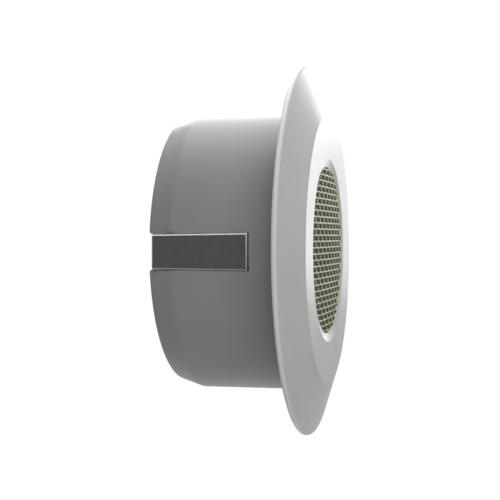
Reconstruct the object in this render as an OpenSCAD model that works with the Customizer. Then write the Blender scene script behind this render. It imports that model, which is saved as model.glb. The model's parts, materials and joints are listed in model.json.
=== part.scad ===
// Recessed outdoor spotlight with a fly-eye lens and two sprung retaining tabs.
// Millimetres. Z is up and the light shines along -Y. The origin is the centre of the
// flange's back face, which lies on the wall, so the housing fills the hole at +Y.

/* [Flange] */
// How far the flange reaches beyond the housing
flange_reach = 12.25; // [11:0.25:16]
// Thickness of the flange at its rounded rim
rim_t = 1.5; // [1.2:0.1:2]
// Width of the flat face round the lens
face_w = 11.35; // [10:0.05:13]
// Height of the flat face in front of the wall
face_h = 5.8; // [5.4:0.1:7]
// How far the flat face falls towards the lens
face_dish = 0.2; // [0:0.05:0.3]
// Width of the bevelled ring round the lens
bevel_w = 2.25; // [1.5:0.05:3]
// Depth of that ring
bevel_depth = 0.6; // [0.3:0.05:0.7]
// Thickness of the lip that holds the lens
lip_t = 1.2; // [1:0.1:1.6]
// Wall behind the flat face
face_wall = 2.2; // [1.8:0.1:2.6]
// Where the gasket channel starts, as a share of the flange's back outside the housing
channel_in_share = 0.23; // [0.2:0.01:0.3]
// Where the gasket channel ends, as a share of the same width
channel_out_share = 0.8; // [0.7:0.01:0.82]
// Depth of the gasket channel
channel_depth = 1.2; // [0.8:0.1:1.4]
// Width of the cored groove above the gasket, as a share of the channel's width
groove_share = 0.38; // [0.25:0.01:0.5]
// Depth of the cored groove, from the flange's back
core_depth = 2.2; // [1.8:0.1:2.4]
// Depth of the rebate that takes the housing's edge
rebate_depth = 2.2; // [1.6:0.1:2.4]
// Wall of the spigot that fits inside the housing
spigot_wall = 2.6; // [2.2:0.1:3]
// How far the spigot reaches behind the flange
spigot_l = 4; // [3.6:0.1:4.6]
// Diameter of the posts and pillars behind the flange
post_d = 6; // [5.6:0.1:6.2]
// How far the posts and pillars are sunk into the spigot's wall
post_sunk = 0.95; // [0.8:0.05:1.5]

/* [Lens] */
// Diameter of the lens where it shows
lens_d = 44.8; // [43:0.1:45.2]
// Width of the lens's hidden rim
lens_rim_w = 4.1; // [3.5:0.1:5]
// Thickness of the lens's hidden rim
lens_rim_t = 1.8; // [1.4:0.1:2]
// How far the middle of the lens stands above its edge
lens_crown = 0.5; // [0.3:0.05:0.8]
// How deep the edge of the lens lies behind the bevelled ring
lens_sink = 0.25; // [0.2:0.05:0.6]
// Distance between neighbouring beads
bead_pitch = 3.23; // [3:0.01:3.8]
// Height of a bead
bead_h = 0.65; // [0.5:0.05:0.8]
// Gap between neighbouring beads
bead_gap = 0.07; // [0.04:0.01:0.2]
// How far the ring that presses the lens home covers the lens's rim
retainer_cover = 3.6; // [3:0.1:4]
// How far that ring reaches beyond the lens's rim
retainer_reach = 1.1; // [0.9:0.1:2]
// Thickness of that ring
retainer_t = 1.6; // [1.2:0.1:2]
// Diameter of the bosses and ears for that ring's screws
retainer_boss_d = 5; // [4.6:0.1:5.2]

/* [Housing] */
// Wall of the housing
housing_wall = 2; // [1.6:0.1:2.2]
// Thickness of the housing's back
back_wall = 2.2; // [1.8:0.1:2.4]
// Length of the tapered part at the back
taper_l = 6.3; // [5:0.1:7]
// How far the tapered part draws in
taper_in = 2.06; // [1:0.02:2.3]
// Radius of the edge round the back
back_edge_r = 1; // [0.6:0.1:1.4]

/* [Retaining tabs] */
// Width of a tab at its free end
tab_w = 9.1; // [8:0.1:9.6]
// Width of a tab at its back end
tab_back_w = 8.5; // [7.6:0.1:8.6]
// Length of a tab
tab_l = 24.3; // [23:0.1:30]
// Distance from a tab's back end to the housing's back
tab_end_gap = 1.65; // [1.4:0.05:3]
// Thickness of a tab
tab_t = 1.6; // [1.4:0.1:1.8]
// How far a tab stands out of the housing
tab_proud = 0.75; // [0.5:0.05:1]
// Radius of a tab's outer edges
tab_edge_r = 0.45; // [0.3:0.05:0.6]
// Distance from the flange's back to a tab's free end
tab_start = 8.25; // [8:0.05:8.6]
// Gap between a tab and the sides of its slot
slot_gap = 0.1; // [0.08:0.01:0.3]
// Gap between a tab's free end and the end of its slot
slot_end_gap = 0.22; // [0.2:0.01:0.5]
// Radius of the corners where the slot opens at the back
mouth_r = 1.7; // [1:0.1:2]
// Angle through which a tab can be pressed in
tab_travel = 3; // [2:0.5:3]
// Diameter of a tab's pivot pin
pin_d = 2; // [1.6:0.1:2]
// Wall of the tab round its pivot pin
knuckle_wall = 1; // [0.8:0.05:1]
// Distance from a tab's back end to its pivot
pivot_from_end = 3.05; // [2.9:0.05:3.2]
// Distance from a tab's inner face to its pivot
pivot_in = 2.55; // [2.4:0.05:2.6]
// Width of the lip that stops a tab from leaving its slot
stop_w = 13.2; // [12.4:0.1:13.8]
// Length of that lip
stop_l = 3.8; // [3:0.1:4.4]
// Thickness of that lip
stop_t = 1.4; // [1:0.1:1.5]
// Thickness of a tab's two ribs
rib_t = 1.3; // [1:0.1:1.4]
// Height of a tab's two ribs
rib_h = 1.75; // [1.4:0.05:2]
// Wall of the pocket behind a slot
pocket_wall = 1.2; // [1:0.1:1.3]
// Width of the pocket behind a slot
pocket_w = 15.2; // [14.6:0.1:15.6]
// Wire diameter of a tab's spring
spring_wire = 0.6; // [0.4:0.05:0.7]
// Outside diameter of a tab's spring
spring_d = 4.4; // [4:0.1:4.6]
// Number of turns of a tab's spring
spring_turns = 4; // [3:0.5:4]
// Distance from a tab's free end to its spring
spring_from_tip = 9.25; // [8:0.25:11]

/* [Light engine] */
// Height of the reflector
reflector_h = 9.4; // [9:0.1:10]
// Wall of the reflector
reflector_wall = 1; // [0.8:0.1:1.2]
// Thickness of the light board
led_board_t = 1.6; // [1.2:0.1:2]
// Width of a light-emitting chip's package
chip_w = 3.5; // [3:0.1:4]
// Height of a chip's package
chip_h = 0.8; // [0.6:0.1:1]
// Chips in the outer ring
chip_count = 6; // [5:1:8]
// Diameter of the circle of chips
chip_circle_d = 18; // [16:0.5:22]
// Diameter of a chip's domed window
chip_window_d = 2.6; // [2:0.1:2.8]
// Thickness of the thermal pad
pad_t = 0.4; // [0.3:0.1:0.6]
// Thickness of the heat sink's base
sink_base_t = 3; // [2.6:0.1:3.2]
// Length of the heat sink's fins
fin_h = 7; // [4:0.5:9]
// Thickness of a fin
fin_t = 1.2; // [0.8:0.1:1.6]
// Number of fins
fin_count = 24; // [12:1:30]
// Gap between the fins and the driver's case
fin_gap = 1; // [0.6:0.1:2]

/* [Driver] */
// Outside diameter of the driver's case
case_d = 39; // [38:0.5:39.6]
// Wall of the driver's case
case_wall = 1.2; // [1:0.1:1.4]
// Depth of the driver's case
case_depth = 13.6; // [13:0.1:13.8]
// Thickness of the case's cap
cap_t = 1; // [0.8:0.1:1.1]
// Least room between the driver's case and the gland's nut
lead_room = 0.5; // [0.3:0.1:2]
// Height of the posts that carry the driver board
board_post_h = 5; // [4.6:0.1:5.4]
// Thickness of the driver board
driver_board_t = 1.2; // [1:0.1:1.6]
// Distance from the driver board's posts to its edge
board_edge = 1.25; // [1:0.05:1.6]
// Width of the transformer, as a share of the room between the posts
transformer_share = 0.54; // [0.4:0.01:0.56]
// Depth of the transformer
transformer_l = 10; // [8:0.5:11]
// Height of the transformer
transformer_h = 4.6; // [4:0.1:4.6]
// Outside diameter of the choke, as a share of the same room
choke_share = 0.4; // [0.3:0.01:0.42]
// Height of the choke
choke_h = 4; // [3:0.5:4.5]
// Diameter of a capacitor
capacitor_d = 5; // [4:0.5:5]
// Length of a capacitor
capacitor_l = 9; // [7:0.5:10]
// Width of the terminal block
terminal_w = 12; // [10:0.5:13]
// Depth of the terminal block
terminal_l = 7; // [6:0.5:8]
// Height of the terminal block
terminal_h = 5.4; // [4.8:0.1:5.6]
// Diameter of a lead from the driver to the light board
lead_d = 1.2; // [1:0.1:1.4]

/* [Cable gland] */
// Thread diameter of the gland
gland_d = 12; // [11:0.5:13]
// Bore for the supply cable
cable_d = 6.2; // [5:0.1:6.6]
// Width across the flats of the gland's hexagons
gland_flats = 15; // [14.6:0.1:16]
// Thickness of the gland's fixed hexagon
gland_hex_t = 2.4; // [2:0.1:3]
// Length of the gland's outer thread
gland_thread_l = 2.4; // [2:0.1:3]
// Length of the gland's cap
gland_cap_l = 4.2; // [4:0.1:5]
// Thickness of the locking nut
lock_nut_t = 1.8; // [1.5:0.1:1.8]
// Wall of the rubber bush round the cable
bush_wall = 1.3; // [1:0.1:1.4]
// Thickness of the gland's washer
washer_t = 0.8; // [0.6:0.1:1]

/* [Screws and seals] */
// Shank diameter of the housing's, heat sink's and retainer's screws
screw_d = 2.9; // [2.5:0.1:3]
// Head diameter of the housing's countersunk screws
csk_head_d = 5.6; // [5.2:0.1:6]
// Depth of a countersunk head
csk_head_h = 1.5; // [1.3:0.1:1.6]
// Head diameter of the pan-head screws
pan_head_d = 4.4; // [4:0.1:4.6]
// Height of a pan head
pan_head_h = 1.4; // [1.2:0.1:1.6]
// Length of the housing's screws
housing_screw_l = 10; // [8:0.5:12]
// Length of the heat sink's screws
sink_screw_l = 8; // [7:0.5:9]
// Length of the retainer's screws
retainer_screw_l = 3.6; // [3.2:0.1:3.8]
// Width of the drive slot in a screw's head
drive_slot_w = 0.6; // [0.5:0.1:0.8]
// Depth of the drive slot
drive_slot_depth = 0.6; // [0.4:0.1:0.7]
// Thickness of the lens's seal
lens_seal_t = 0.8; // [0.6:0.1:1]
// Section diameter of the housing's ring seal
o_ring_d = 1.6; // [1.4:0.1:1.6]

/* [Hidden] */

$fn = 96;
small_fn = 32;

// Clearances shared by all fits
overrun = 1;
seat_gap = 0.05;
fit_gap = 0.1;
loose_gap = 0.2;
wide_gap = 0.4;
thread_gap = 0.02;
screw_hole_gap = 0.2;
pin_gap = 0.05;
stop_gap = 0.25;
blind_gap = 0.6;

// Screws
shank_r = screw_d / 2;
thread_r = shank_r + thread_gap;
hole_r = shank_r + screw_hole_gap;
csk_r = csk_head_d / 2;
pan_r = pan_head_d / 2;

// Radii, from the lens out to the flange's rim
lens_r = lens_d / 2;
lens_opening_r = lens_r + loose_gap;
aperture_r = lens_opening_r + bevel_w;
face_r = aperture_r + face_w;
lens_rim_r = lens_r + lens_rim_w;
lens_pocket_r = lens_rim_r + loose_gap;
retainer_in_r = lens_rim_r - retainer_cover;
retainer_out_r = lens_rim_r + retainer_reach;
post_r = post_d / 2;
post_circle_r = retainer_out_r + wide_gap + post_r;
spigot_in_r = post_circle_r + post_r - post_sunk;
spigot_r = spigot_in_r + spigot_wall;
housing_in_r = spigot_r + fit_gap;
housing_r = housing_in_r + housing_wall;
rebate_r = housing_r + fit_gap;
flange_r = housing_r + flange_reach;
rim_r = rim_t / 2;
rim_centre_r = flange_r - rim_r;
channel_room = rim_centre_r - rebate_r;
channel_in_r = rebate_r + channel_room * channel_in_share;
channel_out_r = rebate_r + channel_room * channel_out_share;
channel_w = channel_out_r - channel_in_r;

// Flange
slope = atan((face_h - rim_t) / (flange_r - face_r));
slope_start_r = rim_centre_r + rim_r * sin(slope);
slope_start_z = rim_r + rim_r * cos(slope);
bevel_back_z = face_h - face_dish - bevel_depth;
lip_back_z = bevel_back_z - lip_t;
face_back_z = face_h - face_wall;
post_root_z = (face_h + face_back_z) / 2;
pillar_angle = 90;
post_angle = 30;
retainer_angle = 0;

// Lens, from its rim's front to its beads
lens_rim_front_z = lip_back_z - lens_seal_t;
lens_rim_back_z = lens_rim_front_z - lens_rim_t;
lens_edge_z = bevel_back_z - lens_sink;
crown_r = (lens_r * lens_r + lens_crown * lens_crown) / (2 * lens_crown);
crown_centre_z = lens_edge_z + lens_crown - crown_r;
bead_r = (bead_pitch - bead_gap) / 2;
bead_ball_r = (bead_r * bead_r + bead_h * bead_h) / (2 * bead_h);
bead_root = bead_h;
column_pitch = bead_pitch * sqrt(3) / 2;
column_reach = floor(lens_r / column_pitch);
row_reach = ceil(lens_r / bead_pitch);
bead_places = [
    for (column = [-column_reach:column_reach], row = [-row_reach:row_reach])
        let (place = [column * column_pitch, (row + abs(column % 2) / 2) * bead_pitch])
            if (norm(place) < lens_r - bead_r / 2) place
];
function crown_z(place) = crown_centre_z + sqrt(crown_r * crown_r - place * place);

// Ring that presses the lens home
retainer_front_z = lens_rim_back_z;
retainer_back_z = retainer_front_z - retainer_t;
retainer_circle_r = (retainer_out_r + spigot_in_r) / 2;
retainer_boss_r = retainer_boss_d / 2;

// Light engine, from the front to the back
reflector_front_z = lens_rim_back_z - fit_gap;
led_front_z = reflector_front_z - reflector_h;
led_back_z = led_front_z - led_board_t;
sink_front_z = led_back_z - pad_t;
sink_back_z = sink_front_z - sink_base_t;
fin_back_z = sink_back_z - fin_h;
sink_r = retainer_out_r - fit_gap;
case_r = case_d / 2;
fin_depth = sink_r - case_r - fin_gap;
led_board_r = lens_r - wide_gap;
chip_circle_r = chip_circle_d / 2;
led_screw_place = led_board_r - pan_r - loose_gap;
led_screw_angle = 90;
lead_place = 6.5;
lead_r = lead_d / 2;
lead_hole_r = lead_r + wide_gap;
sink_thread_share = 0.6;
sink_hole_share = 0.75;
sink_screw_reach = sink_base_t * sink_thread_share;
sink_hole_depth = sink_base_t * sink_hole_share;

// Reflector, inside the retainer's ring in front and clear of the light board's screw heads
reflector_mouth_r = retainer_in_r - wide_gap;
head_height_share = pan_head_h / reflector_h;
head_clear_r = led_screw_place - pan_r - loose_gap;
reflector_foot_r = (head_clear_r - reflector_mouth_r * head_height_share) / (1 - head_height_share);

// Driver, from the front to the back
case_in_r = case_r - case_wall;
case_floor_z = sink_back_z - case_wall;
case_back_z = sink_back_z - case_depth;
driver_front_z = case_floor_z - board_post_h;
driver_back_z = driver_front_z - driver_board_t;
driver_board_r = case_in_r - wide_gap;
cap_back_z = case_back_z - cap_t;
cap_skirt_h = cap_t;
board_post_r = shank_r + case_wall;
board_screw_place = driver_board_r - board_post_r - board_edge;
parts_room = 2 * (board_screw_place - board_post_r - loose_gap);
transformer_w = parts_room * transformer_share;
choke_d = parts_room * choke_share;
driver_screw_l = driver_board_t + board_post_h + case_wall + sink_screw_reach;
yoke_share = 0.2;
core_share = 0.6;
winding_share = 0.85;
choke_bore_share = 0.4;
well_share = 0.25;
well_depth_share = 0.5;

// Housing
housing_front_z = rebate_depth - seat_gap;
tab_depth = tab_start + tab_l + tab_end_gap;
driver_depth = lead_room + lock_nut_t + back_wall - cap_back_z;
back_z = -max(tab_depth, driver_depth);
back_in_z = back_z + back_wall;
taper_front_z = back_z + taper_l;
taper_angle = atan(taper_in / taper_l);
back_edge_z = back_z + back_edge_r;
taper_line = housing_r * cos(taper_angle) - taper_front_z * sin(taper_angle);
back_edge_centre_r = (taper_line - back_edge_r + back_edge_z * sin(taper_angle)) / cos(taper_angle);
back_edge_end_r = back_edge_centre_r + back_edge_r * cos(taper_angle);
back_edge_end_z = back_edge_z - back_edge_r * sin(taper_angle);
back_in_r = housing_in_r - taper_in * (taper_front_z - back_in_z) / taper_l;
o_ring_r = o_ring_d / 2;
o_ring_centre_r = housing_in_r - seat_gap - o_ring_r;
o_ring_groove_r = o_ring_centre_r - o_ring_r - seat_gap;
o_ring_z = -spigot_l / 2;

// Retaining tabs, on the right-hand side
tab_face_x = housing_r + tab_proud;
tab_inner_x = tab_face_x - tab_t;
tab_front_z = -tab_start;
tab_back_z = tab_front_z - tab_l;
tab_taper = atan((tab_w - tab_back_w) / 2 / tab_l);
pivot_x = tab_inner_x - pivot_in;
pivot_z = tab_back_z + pivot_from_end;
pin_r = pin_d / 2;
knuckle_bore_r = pin_r + pin_gap;
knuckle_r = knuckle_bore_r + knuckle_wall;
knuckle_half_w = tab_back_w / 2;
slot_front_half_w = tab_w / 2 + slot_gap;
slot_back_half_w = knuckle_half_w + slot_gap;
slot_front_z = tab_front_z + slot_end_gap;
mouth_height_share = 0.85;
mouth_z = back_z + mouth_r * mouth_height_share;
mouth_steps = 6;
stop_face_x = sqrt(pow(housing_in_r, 2) - pow(stop_w / 2, 2)) - stop_gap;
stop_inner_x = stop_face_x - stop_t;
stop_front_z = tab_front_z - slot_end_gap;
stop_swing_x = (pivot_x - stop_inner_x) * cos(tab_travel) + (stop_front_z - pivot_z) * sin(tab_travel);
pocket_floor_x = pivot_x - stop_swing_x - stop_gap;
pocket_back_x = pocket_floor_x - pocket_wall;
pocket_front_z = slot_front_z + stop_gap;
pocket_half_w = pocket_w / 2;
pin_l = pocket_w + 2 * pocket_wall;
spring_z = tab_front_z - spring_from_tip;
spring_boss_r = spring_d / 2 - spring_wire - loose_gap;
spring_boss_h = spring_wire * 2;
coil_r = (spring_d - spring_wire) / 2;
coil_start_x = pocket_floor_x + spring_wire / 2 + seat_gap;
coil_end_x = tab_inner_x - spring_wire / 2 - seat_gap;
coil_pitch = (coil_end_x - coil_start_x) / spring_turns;
rings_per_turn = 8;
coil_rings = round(spring_turns * rings_per_turn);
coil_sides = 6;

// Cable gland, behind the housing's back
gland_r = gland_d / 2;
gland_bore_r = cable_d / 2 + bush_wall + fit_gap;
bush_r = gland_bore_r - seat_gap;
bush_in_r = cable_d / 2;
gland_throat_r = bush_in_r + wide_gap;
gland_hex_r = gland_flats / sqrt(3);
gland_in_z = back_in_z + lock_nut_t + seat_gap;
washer_back_z = back_z - washer_t;
hex_back_z = washer_back_z - gland_hex_t;
thread_back_z = hex_back_z - gland_thread_l;
gland_cap_front_z = hex_back_z - wide_gap;
gland_cap_back_z = gland_cap_front_z - gland_cap_l;
gland_cap_wall = gland_cap_back_z + overrun;
bush_front_z = washer_back_z;
bush_back_z = gland_cap_back_z + overrun + seat_gap;

// Turns the light's own axis, drawn upwards, to face forwards.
module facing_forward() {
    rotate([90, 0, 0])
        children();
}

// A disc between two heights.
module disc(r, low, high) {
    translate([0, 0, low])
        cylinder(r = r, h = high - low);
}

// A ring between two heights.
module ring(outer_r, inner_r, low, high) {
    difference() {
        disc(outer_r, low, high);
        disc(inner_r, low - overrun, high + overrun);
    }
}

// A block between two heights, centred on the axis.
module block(w, l, low, high) {
    translate([-w / 2, -l / 2, low])
        cube([w, l, high - low]);
}

// Copies the children round the axis.
module round_places(count, r, start) {
    for (step = [0:count - 1])
        rotate([0, 0, start + step * 360 / count])
            translate([r, 0, 0])
                children();
}

// A pan-head screw that enters from behind, its head's seat at height zero.
module pan_screw(length) {
    difference() {
        union() {
            disc(shank_r, -fit_gap, length);
            disc(pan_r, -pan_head_h, 0);
        }
        block(pan_head_d + overrun, drive_slot_w, -pan_head_h - overrun, drive_slot_depth - pan_head_h);
    }
}

// A countersunk screw that enters from behind, its flat head at height zero.
module csk_screw(length) {
    difference() {
        union() {
            disc(shank_r, csk_head_h / 2, length);
            cylinder(r1 = csk_r, r2 = shank_r, h = csk_head_h);
        }
        block(csk_head_d + overrun, drive_slot_w, -overrun, drive_slot_depth);
    }
}

// A hexagonal prism between two heights.
module hexagon(low, high) {
    translate([0, 0, low])
        cylinder(r = gland_hex_r, h = high - low, $fn = 6);
}

// Section of the flange, from the lens's lip over the bevelled ring to the rim and back inside.
module trim_profile() {
    difference() {
        union() {
            polygon([
                [lens_opening_r, lip_back_z],
                [lens_opening_r, bevel_back_z],
                [aperture_r, face_h - face_dish],
                [face_r, face_h],
                [slope_start_r, slope_start_z],
                [rim_centre_r, rim_r],
                [rim_centre_r, 0],
                [rebate_r, 0],
                [rebate_r, rebate_depth],
                [spigot_r, rebate_depth],
                [spigot_r, -spigot_l],
                [spigot_in_r, -spigot_l],
                [spigot_in_r, face_back_z],
                [lens_pocket_r + face_wall, face_back_z],
                [lens_pocket_r + face_wall, retainer_front_z],
                [lens_pocket_r, retainer_front_z],
                [lens_pocket_r, lip_back_z]
            ]);
            translate([rim_centre_r, rim_r])
                circle(r = rim_r);
        }
        translate([channel_in_r, -overrun])
            square([channel_w, channel_depth + overrun]);
        translate([channel_in_r, -overrun])
            square([channel_w * groove_share, core_depth + overrun]);
        translate([o_ring_groove_r, o_ring_z - o_ring_r - seat_gap])
            square([o_ring_d + overrun, o_ring_d + 2 * seat_gap]);
    }
}

// The flange, with the posts and pillars that everything behind it is screwed to.
module trim_ring() {
    color("gainsboro")
        facing_forward()
            difference() {
                union() {
                    rotate_extrude()
                        trim_profile();
                    round_places(3, post_circle_r, pillar_angle)
                        disc(post_r, back_in_z, post_root_z);
                    round_places(3, post_circle_r, post_angle)
                        disc(post_r, sink_front_z, post_root_z);
                    round_places(3, retainer_circle_r, retainer_angle)
                        disc(retainer_boss_r, retainer_front_z, post_root_z);
                }
                round_places(3, post_circle_r, pillar_angle)
                    disc(thread_r, back_in_z - overrun, back_z + housing_screw_l + blind_gap);
                round_places(3, post_circle_r, post_angle)
                    disc(thread_r, sink_front_z - overrun, sink_back_z + sink_screw_l + blind_gap);
                round_places(3, retainer_circle_r, retainer_angle)
                    disc(thread_r, retainer_front_z - overrun, retainer_back_z + retainer_screw_l + blind_gap);
            }
}

// One bead of the fly-eye lens, its foot below height zero.
module bead() {
    intersection() {
        translate([0, 0, bead_h - bead_ball_r])
            sphere(r = bead_ball_r, $fn = small_fn);
        disc(bead_r, -overrun, overrun);
    }
    disc(bead_r, -bead_root, 0);
}

// The fly-eye lens: a crowned disc covered with beads, and a plain rim behind the lip.
module lens() {
    color("darkolivegreen")
        facing_forward() {
            disc(lens_rim_r, lens_rim_back_z, lens_rim_front_z);
            intersection() {
                disc(lens_r, lens_rim_front_z - seat_gap, bevel_back_z + lens_crown + bead_h);
                translate([0, 0, crown_centre_z])
                    sphere(r = crown_r);
            }
            for (place = bead_places)
                if (norm(place) < lens_r - bead_r)
                    translate([place.x, place.y, crown_z(place)])
                        bead();
                else
                    intersection() {
                        translate([place.x, place.y, crown_z(place)])
                            bead();
                        disc(lens_r - seat_gap, lens_rim_front_z, bevel_back_z + lens_crown + bead_h);
                    }
        }
}

// Rubber ring between the lens's rim and the lip.
module lens_seal() {
    color("dimgray")
        facing_forward()
            ring(lens_rim_r, lens_opening_r + loose_gap, lens_rim_front_z, lip_back_z);
}

// Ring with three ears that presses the lens against its seal.
module lens_retainer() {
    color("silver")
        facing_forward()
            difference() {
                union() {
                    disc(retainer_out_r, retainer_back_z, retainer_front_z);
                    round_places(3, retainer_circle_r, retainer_angle)
                        disc(retainer_boss_r, retainer_back_z, retainer_front_z);
                    round_places(3, retainer_circle_r - retainer_boss_r, retainer_angle)
                        block(retainer_boss_d, retainer_boss_d, retainer_back_z, retainer_front_z);
                }
                disc(retainer_in_r, retainer_back_z - overrun, retainer_front_z + overrun);
                round_places(3, retainer_circle_r, retainer_angle)
                    disc(hole_r, retainer_back_z - overrun, retainer_front_z + overrun);
            }
}

// Screws of the lens's ring.
module retainer_screws() {
    color("silver")
        facing_forward()
            round_places(3, retainer_circle_r, retainer_angle)
                translate([0, 0, retainer_back_z])
                    pan_screw(retainer_screw_l);
}

// Cone between the light board and the lens.
module reflector() {
    color("white")
        facing_forward()
            rotate_extrude()
                polygon([
                    [reflector_foot_r - reflector_wall, led_front_z],
                    [reflector_mouth_r - reflector_wall, reflector_front_z],
                    [reflector_mouth_r, reflector_front_z],
                    [reflector_foot_r, led_front_z]
                ]);
}

// Metal-core board of the light source.
module led_board() {
    color("whitesmoke")
        facing_forward()
            difference() {
                disc(led_board_r, led_back_z, led_front_z);
                round_places(3, led_screw_place, led_screw_angle)
                    disc(hole_r, led_back_z - overrun, led_front_z + overrun);
                round_places(2, lead_place, led_screw_angle)
                    disc(lead_hole_r, led_back_z - overrun, led_front_z + overrun);
            }
}

// One light-emitting chip: a square package with a domed window.
module chip() {
    block(chip_w, chip_w, led_front_z, led_front_z + chip_h);
    translate([0, 0, led_front_z + chip_h])
        intersection() {
            sphere(r = chip_window_d / 2, $fn = small_fn);
            disc(chip_window_d, 0, chip_window_d);
        }
}

// All chips on the light board.
module led_chips() {
    color("khaki")
        facing_forward() {
            chip();
            round_places(chip_count, chip_circle_r, 0)
                chip();
        }
}

// Screws that hold the light board on the heat sink.
module led_board_screws() {
    color("silver")
        facing_forward()
            round_places(3, led_screw_place, led_screw_angle)
                translate([0, 0, led_front_z])
                    mirror([0, 0, 1])
                        pan_screw(led_board_t + pad_t + sink_screw_reach);
}

// Soft pad that carries heat from the light board to the heat sink.
module thermal_pad() {
    color("lightsteelblue")
        facing_forward()
            difference() {
                disc(led_board_r, sink_front_z, led_back_z);
                round_places(3, led_screw_place, led_screw_angle)
                    disc(hole_r, sink_front_z - overrun, led_back_z + overrun);
                round_places(2, lead_place, led_screw_angle)
                    disc(lead_hole_r, sink_front_z - overrun, led_back_z + overrun);
            }
}

// Heat sink with three ears on the flange's posts and a ring of fins behind.
module heat_sink() {
    color("gray")
        facing_forward()
            difference() {
                union() {
                    disc(sink_r, sink_back_z, sink_front_z);
                    round_places(3, post_circle_r, post_angle)
                        disc(post_r, sink_back_z, sink_front_z);
                    round_places(3, post_circle_r - post_r, post_angle)
                        block(post_d, post_d, sink_back_z, sink_front_z);
                    round_places(fin_count, sink_r - fin_depth / 2, 0)
                        block(fin_depth - fin_t / 2, fin_t, fin_back_z, sink_back_z + seat_gap);
                }
                round_places(3, post_circle_r, post_angle)
                    disc(hole_r, sink_back_z - overrun, sink_front_z + overrun);
                round_places(3, led_screw_place, led_screw_angle)
                    disc(thread_r, sink_front_z - sink_hole_depth, sink_front_z + overrun);
                round_places(2, board_screw_place, 0)
                    disc(thread_r, sink_back_z - overrun, sink_back_z + sink_hole_depth);
                round_places(2, lead_place, led_screw_angle)
                    disc(lead_hole_r, sink_back_z - overrun, sink_front_z + overrun);
            }
}

// Screws that hold the heat sink on the flange's posts.
module heat_sink_screws() {
    color("silver")
        facing_forward()
            round_places(3, post_circle_r, post_angle)
                translate([0, 0, sink_back_z])
                    pan_screw(sink_screw_l);
}

// Insulating cup round the driver board.
module driver_case() {
    color("ivory")
        facing_forward()
            difference() {
                union() {
                    difference() {
                        disc(case_r, case_back_z, sink_back_z);
                        disc(case_in_r, case_back_z - overrun, case_floor_z);
                    }
                    round_places(2, board_screw_place, 0)
                        disc(board_post_r, driver_front_z, case_floor_z + seat_gap);
                }
                round_places(2, board_screw_place, 0)
                    disc(hole_r, driver_front_z - overrun, sink_back_z + overrun);
                round_places(2, lead_place, led_screw_angle)
                    disc(lead_hole_r, case_floor_z - overrun, sink_back_z + overrun);
            }
}

// Printed circuit board of the driver.
module driver_board() {
    color("darkgreen")
        facing_forward()
            difference() {
                disc(driver_board_r, driver_back_z, driver_front_z);
                round_places(2, board_screw_place, 0)
                    disc(hole_r, driver_back_z - overrun, driver_front_z + overrun);
                round_places(2, lead_place, led_screw_angle)
                    disc(lead_r + seat_gap, driver_back_z - overrun, driver_front_z + overrun);
            }
}

// Screws through the driver board and its posts into the heat sink.
module driver_screws() {
    color("silver")
        facing_forward()
            round_places(2, board_screw_place, 0)
                translate([0, 0, driver_back_z])
                    pan_screw(driver_screw_l);
}

// Transformer: a winding that stands out on both sides of its ferrite core.
module transformer() {
    color("goldenrod")
        facing_forward()
            translate([(transformer_w - parts_room) / 2, 0, driver_front_z]) {
                block(transformer_w, transformer_l * core_share, 0, transformer_h);
                block(transformer_w * (1 - 2 * yoke_share), transformer_l, 0, transformer_h * winding_share);
            }
}

// Ring-shaped filter choke.
module choke() {
    color("darkgoldenrod")
        facing_forward()
            translate([(parts_room - choke_d) / 2, 0, 0])
                ring(choke_d / 2, choke_d / 2 * choke_bore_share, driver_front_z, driver_front_z + choke_h);
}

// Two smoothing capacitors lying on the back of the driver board.
module capacitors() {
    color("darkslateblue")
        facing_forward()
            for (side = [-1, 1])
                translate([side * (capacitor_d + loose_gap) / 2, capacitor_l + loose_gap,
                           driver_back_z - capacitor_d / 2])
                    rotate([90, 0, 0])
                        cylinder(d = capacitor_d, h = capacitor_l);
}

// Terminal block for the supply leads, with a screw well over each clamp.
module terminal_block() {
    color("seagreen")
        facing_forward()
            translate([0, -terminal_l, driver_back_z - terminal_h])
                difference() {
                    block(terminal_w, terminal_l, 0, terminal_h);
                    for (side = [-1, 1])
                        translate([side * terminal_w / 4, 0, 0])
                            disc(terminal_w / 2 * well_share, -overrun, terminal_h * well_depth_share);
                }
}

// Two leads from the driver board up to the light board.
module led_leads() {
    color("crimson")
        facing_forward()
            round_places(2, lead_place, led_screw_angle)
                disc(lead_r, driver_back_z, led_front_z);
}

// Cap that closes the driver's case, with a window for the supply leads.
module driver_cap() {
    color("ivory")
        facing_forward()
            difference() {
                union() {
                    disc(case_r, cap_back_z, case_back_z);
                    ring(case_in_r - fit_gap, case_in_r - case_wall, case_back_z - seat_gap,
                         case_back_z + cap_skirt_h);
                }
                disc(gland_throat_r, cap_back_z - overrun, case_back_z + overrun);
            }
}

// Section of the housing: a straight wall, a tapered end and a rounded back edge.
module housing_profile() {
    polygon([
        [0, back_z],
        [back_edge_centre_r, back_z],
        [back_edge_centre_r, back_edge_z],
        [back_edge_end_r, back_edge_end_z],
        [housing_r, taper_front_z],
        [housing_r, housing_front_z],
        [housing_in_r, housing_front_z],
        [housing_in_r, taper_front_z],
        [back_in_r, back_in_z],
        [0, back_in_z]
    ]);
    translate([back_edge_centre_r, back_edge_z])
        circle(r = back_edge_r, $fn = small_fn);
}

// The space inside the housing, grown into its walls.
module inside_space(into_wall) {
    rotate_extrude()
        polygon([
            [0, back_in_z - into_wall],
            [back_in_r + into_wall, back_in_z - into_wall],
            [housing_in_r + into_wall, taper_front_z],
            [housing_in_r + into_wall, 0],
            [0, 0]
        ]);
}

// Solid block for the pocket behind the right-hand slot.
module pocket_walls() {
    intersection() {
        translate([pocket_back_x, -pocket_half_w - pocket_wall, back_in_z - seat_gap])
            cube([housing_r - pocket_back_x, pocket_w + 2 * pocket_wall,
                  pocket_front_z + pocket_wall - back_in_z]);
        inside_space(housing_wall / 2);
    }
}

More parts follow.
